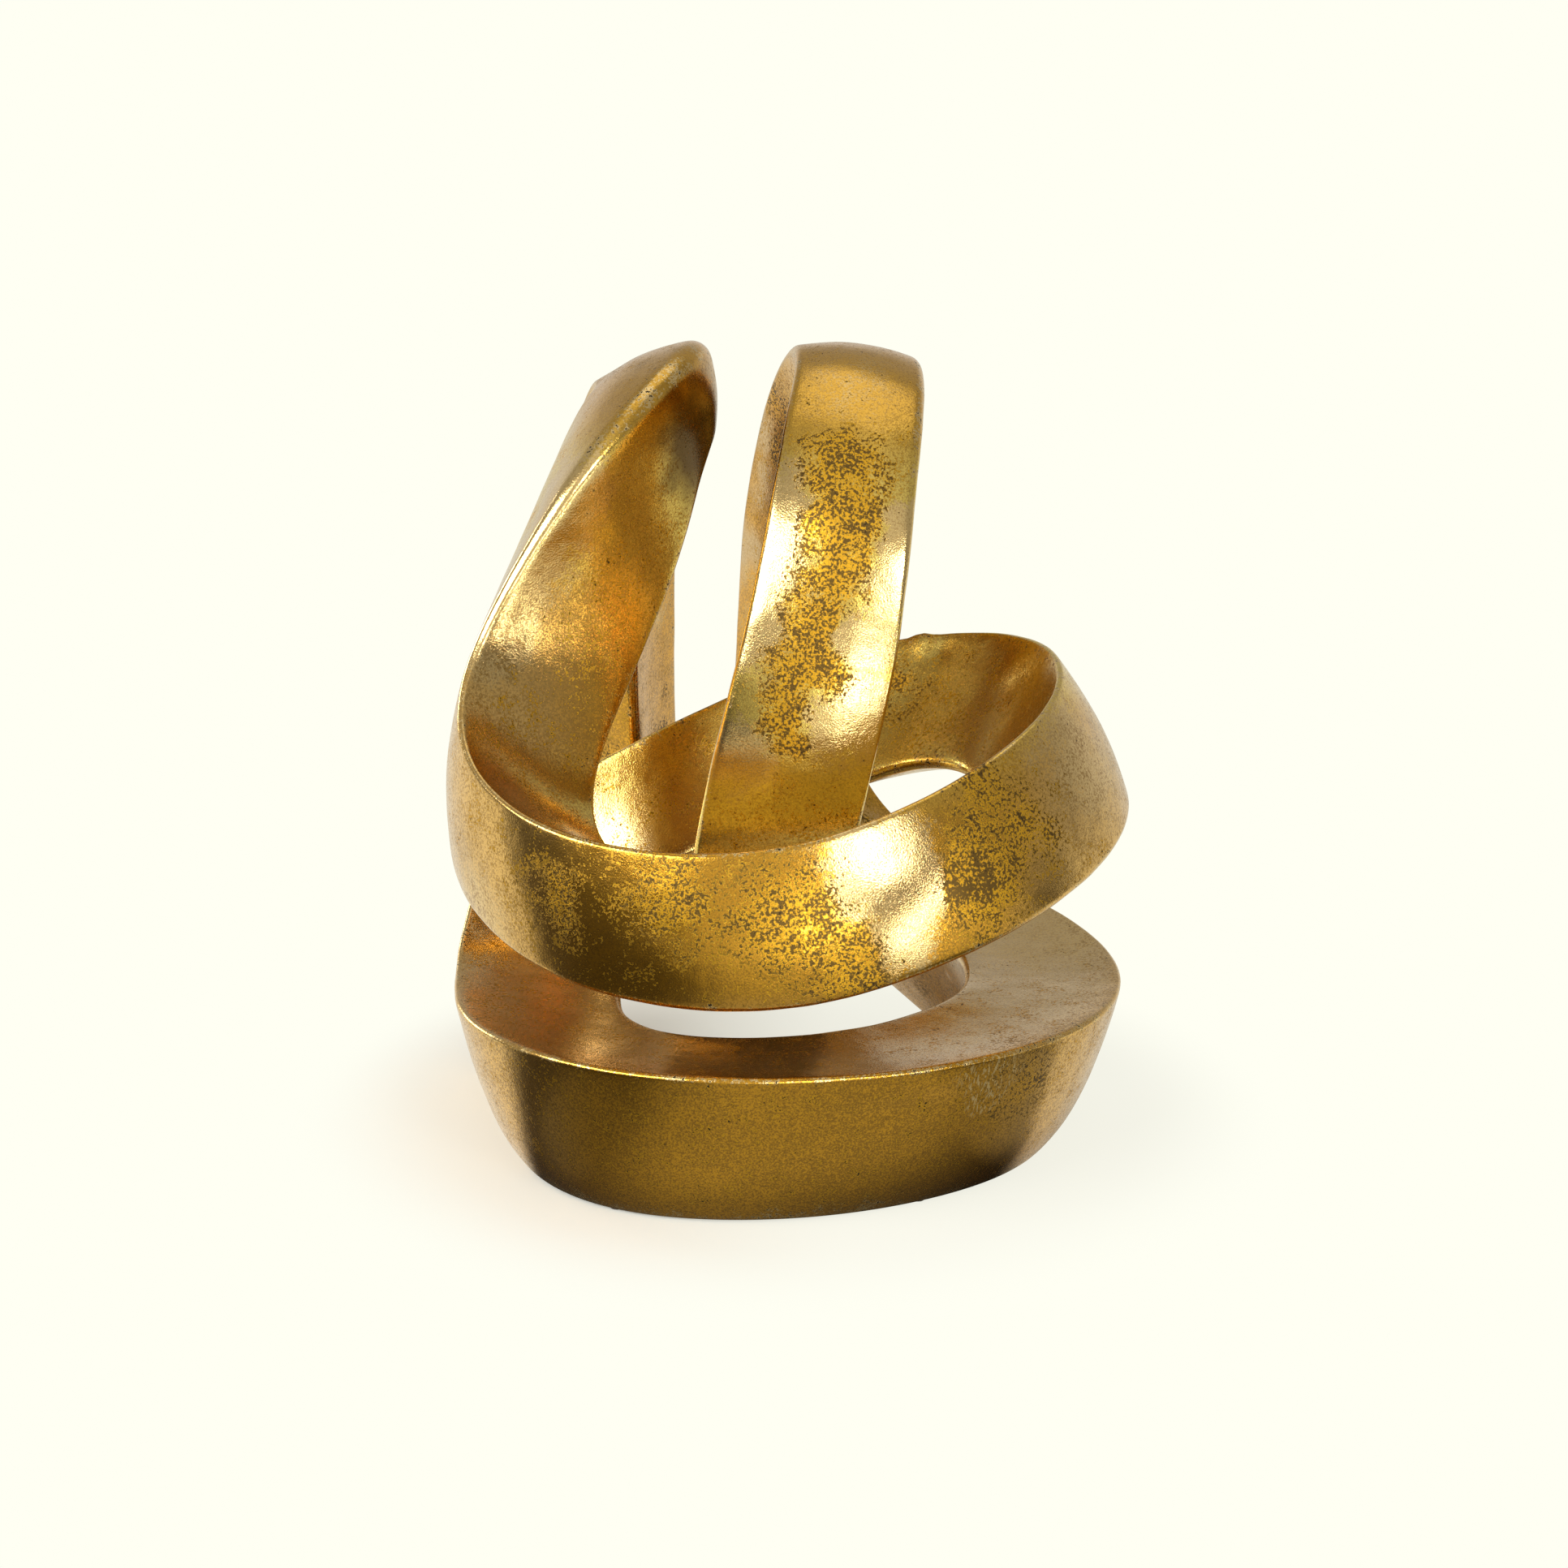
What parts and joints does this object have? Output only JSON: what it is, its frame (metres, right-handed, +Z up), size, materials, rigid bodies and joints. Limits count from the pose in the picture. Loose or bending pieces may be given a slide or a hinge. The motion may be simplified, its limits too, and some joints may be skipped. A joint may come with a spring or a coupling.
{
  "type": "knot sculpture",
  "caption": "Free-standing endless knot sculpture: one three-sided band that loops over and through itself, cast resin with an aged gold-leaf finish.",
  "frame": {"origin": "on the surface it stands on, under the middle of the bounding box", "axes": "+Z up, -Y towards the viewer of the picture, +X to that viewer's right"},
  "size_m": [0.2316, 0.243, 0.2656],
  "materials": {
    "gold_leaf": "cast resin under aged, rubbed gold leaf with dark brown patina specks",
    "steel": "plain drawn dowel",
    "felt": "pressed felt dot"
  },
  "bodies": {
    "root": {"base_section": "gold_leaf", "climb_section": "gold_leaf", "ring_section": "gold_leaf", "left_loop": "gold_leaf", "hook_section": "gold_leaf", "right_loop": "gold_leaf", "ramp_section": "gold_leaf", "dowel_1a": "steel", "dowel_1b": "steel", "dowel_2a": "steel", "dowel_2b": "steel", "dowel_3a": "steel", "dowel_3b": "steel", "dowel_4a": "steel", "dowel_4b": "steel", "dowel_5a": "steel", "dowel_5b": "steel", "dowel_6a": "steel", "dowel_6b": "steel", "dowel_7a": "steel", "dowel_7b": "steel", "pad_right": "felt", "pad_front_right": "felt", "pad_front_left": "felt", "pad_left": "felt"}
  },
  "joints": []
}
